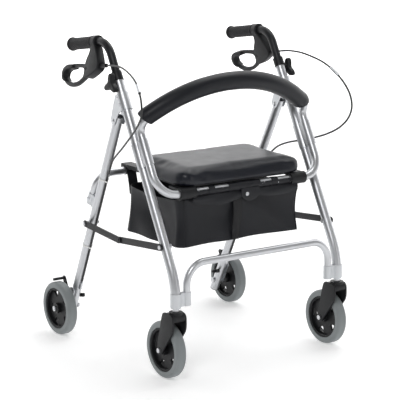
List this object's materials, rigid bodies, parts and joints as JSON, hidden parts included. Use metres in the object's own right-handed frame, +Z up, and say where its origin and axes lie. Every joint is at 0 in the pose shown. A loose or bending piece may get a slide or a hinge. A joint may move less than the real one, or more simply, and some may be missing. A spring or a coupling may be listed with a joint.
{
  "type": "rollator walker",
  "caption": "Folding aluminium rollator with padded flip-up seat, under-seat bag, bent backrest, loop brake handles, swivel front casters and braked rear wheels.",
  "frame": {"origin": "middle of the footprint on the floor, at the bottom centre of the bounding box at rest", "axes": "+Z up, -Y the way the rollator travels; pieces named left are at +X, which is the user's left hand as they stand behind it facing -Y"},
  "size_m": [0.701, 0.656, 0.8717],
  "materials": {
    "leg_tube": "satin, brushed lengthwise",
    "bent_tube": "satin",
    "steel": "zinc plated",
    "black_tube": "black powder coat, semi-gloss",
    "black_plastic": "moulded black nylon",
    "grip_rubber": "soft black rubber",
    "cable_sheath": "black cable sheath",
    "tie_plastic": "white nylon",
    "vinyl": "glossy black vinyl",
    "foam": "smooth black foam skin",
    "bag_cloth": "black woven nylon",
    "tyre": "grey polyurethane"
  },
  "bodies": {
    "front_frame": {"front_leg_left": "leg_tube", "front_leg_right": "leg_tube", "lower_front_bar": "bent_tube", "lower_clamps": "leg_tube", "seat_front_tube": "bent_tube", "tube_sleeves": "leg_tube", "backrest_tube": "bent_tube", "backrest_pad": "foam", "fold_brackets": "leg_tube", "fold_rivets": "steel", "leg_collars": "black_plastic", "brake_cable_left": "cable_sheath", "brake_cable_right": "cable_sheath", "cable_barrels": "steel", "bag": "bag_cloth", "caster_stems": "steel"},
    "rear_frame": {"rear_leg_left": "leg_tube", "rear_leg_right": "leg_tube", "rear_cross_tube": "bent_tube", "rear_clamps": "leg_tube", "rear_foot_plates": "leg_tube", "rear_axles": "steel", "brace_bolts_rear": "steel", "cable_ties": "tie_plastic", "cable_stops": "steel", "leg_caps": "black_plastic"},
    "seat": {"seat_board": "black_plastic", "seat_cushion": "vinyl", "seat_hinges": "black_plastic", "seat_rests": "black_plastic"},
    "handle_left": {"handle_post_left": "black_tube", "grip_left": "grip_rubber", "brake_housing_left": "black_plastic"},
    "lever_left": {"brake_lever_left": "black_plastic"},
    "brake_arm_left": {"brake_arm_left": "black_tube"},
    "knob_left": {"knob_left": "black_plastic", "clamp_bolt_left": "steel"},
    "brace_front_left": {"brace_front_left": "black_tube"},
    "brace_rear_left": {"brace_rear_left": "black_tube"},
    "caster_left": {"caster_fork_left": "black_plastic", "caster_axle_left": "steel"},
    "wheel_front_left": {"hub_front_left": "black_plastic", "tyre_front_left": "tyre"},
    "wheel_rear_left": {"hub_rear_left": "black_plastic", "tyre_rear_left": "tyre"},
    "handle_right": {"handle_post_right": "black_tube", "grip_right": "grip_rubber", "brake_housing_right": "black_plastic"},
    "lever_right": {"brake_lever_right": "black_plastic"},
    "brake_arm_right": {"brake_arm_right": "black_tube"},
    "knob_right": {"knob_right": "black_plastic", "clamp_bolt_right": "steel"},
    "brace_front_right": {"brace_front_right": "black_tube"},
    "brace_rear_right": {"brace_rear_right": "black_tube"},
    "caster_right": {"caster_fork_right": "black_plastic", "caster_axle_right": "steel"},
    "wheel_front_right": {"hub_front_right": "black_plastic", "tyre_front_right": "tyre"},
    "wheel_rear_right": {"hub_rear_right": "black_plastic", "tyre_rear_right": "tyre"}
  },
  "joints": [
    {"name": "fold", "type": "hinge", "parent": "front_frame", "child": "rear_frame", "pos_m": [0, -0.026, 0.652], "axis": [-1, 0, 0], "range_deg": [0, 32], "deforming": ["bag", "brake_cable_left", "brake_cable_right"]},
    {"name": "seat_flip", "type": "hinge", "parent": "front_frame", "child": "seat", "pos_m": [0, -0.21998, 0.47727], "axis": [1, 0, 0], "range_deg": [0, 54]},
    {"name": "height_left", "type": "slide", "parent": "front_frame", "child": "handle_left", "axis": [0, 0.4695, 0.8829], "range_m": [0, 0.125], "deforming": ["brake_cable_left"]},
    {"name": "squeeze_left", "type": "hinge", "parent": "handle_left", "child": "lever_left", "pos_m": [0.2879, 0.08751, 0.77872], "axis": [0.9703, 0.0337, 0.2396], "range_deg": [0, 14], "stiffness_Nm_per_rad": 1, "springref_deg": -5.73},
    {"name": "brake_left", "type": "hinge", "parent": "rear_frame", "child": "brake_arm_left", "pos_m": [0.25678, 0.23656, 0.108], "axis": [-1, 0, 0], "range_deg": [0, 8]},
    {"name": "knob_turn_left", "type": "hinge", "parent": "front_frame", "child": "knob_left", "pos_m": [0.293, -0.0355, 0.7518], "axis": [1, 0, 0], "continuous": true},
    {"name": "brace_front_fold_left", "type": "hinge", "parent": "front_frame", "child": "brace_front_left", "pos_m": [0.285, -0.24861, 0.351], "axis": [-1, 0, 0], "range_deg": [0, 59.5]},
    {"name": "brace_rear_fold_left", "type": "hinge", "parent": "rear_frame", "child": "brace_rear_left", "pos_m": [0.288, 0.12169, 0.346], "axis": [1, 0, 0], "range_deg": [0, 82.2]},
    {"name": "swivel_left", "type": "hinge", "parent": "front_frame", "child": "caster_left", "pos_m": [0.27, -0.297, 0.17], "axis": [0, 0, 1], "continuous": true},
    {"name": "roll_front_left", "type": "hinge", "parent": "caster_left", "child": "wheel_front_left", "pos_m": [0.27, -0.252, 0.076], "axis": [1, 0, 0], "continuous": true},
    {"name": "roll_rear_left", "type": "hinge", "parent": "rear_frame", "child": "wheel_rear_left", "pos_m": [0.298, 0.252, 0.076], "axis": [1, 0, 0], "continuous": true},
    {"name": "height_right", "type": "slide", "parent": "front_frame", "child": "handle_right", "axis": [0, 0.4695, 0.8829], "range_m": [0, 0.125], "deforming": ["brake_cable_right"]},
    {"name": "squeeze_right", "type": "hinge", "parent": "handle_right", "child": "lever_right", "pos_m": [-0.2879, 0.08751, 0.77872], "axis": [0.9703, -0.0337, -0.2396], "range_deg": [0, 14], "stiffness_Nm_per_rad": 1, "springref_deg": -5.73},
    {"name": "brake_right", "type": "hinge", "parent": "rear_frame", "child": "brake_arm_right", "pos_m": [-0.25678, 0.23656, 0.108], "axis": [-1, 0, 0], "range_deg": [0, 8]},
    {"name": "knob_turn_right", "type": "hinge", "parent": "front_frame", "child": "knob_right", "pos_m": [-0.293, -0.0355, 0.7518], "axis": [-1, 0, 0], "continuous": true},
    {"name": "brace_front_fold_right", "type": "hinge", "parent": "front_frame", "child": "brace_front_right", "pos_m": [-0.285, -0.24861, 0.351], "axis": [-1, 0, 0], "range_deg": [0, 59.5]},
    {"name": "brace_rear_fold_right", "type": "hinge", "parent": "rear_frame", "child": "brace_rear_right", "pos_m": [-0.288, 0.12169, 0.346], "axis": [1, 0, 0], "range_deg": [0, 82.2]},
    {"name": "swivel_right", "type": "hinge", "parent": "front_frame", "child": "caster_right", "pos_m": [-0.27, -0.297, 0.17], "axis": [0, 0, 1], "continuous": true},
    {"name": "roll_front_right", "type": "hinge", "parent": "caster_right", "child": "wheel_front_right", "pos_m": [-0.27, -0.252, 0.076], "axis": [1, 0, 0], "continuous": true},
    {"name": "roll_rear_right", "type": "hinge", "parent": "rear_frame", "child": "wheel_rear_right", "pos_m": [-0.298, 0.252, 0.076], "axis": [1, 0, 0], "continuous": true}
  ],
  "couplings": [
    {"joint": "brake_left", "follows": "squeeze_left", "ratio": 0.57143},
    {"joint": "brace_front_fold_left", "follows": "fold", "ratio": 1.8578},
    {"joint": "brace_rear_fold_left", "follows": "fold", "ratio": 2.5678},
    {"joint": "brake_right", "follows": "squeeze_right", "ratio": 0.57143},
    {"joint": "brace_front_fold_right", "follows": "fold", "ratio": 1.8578},
    {"joint": "brace_rear_fold_right", "follows": "fold", "ratio": 2.5678}
  ]
}
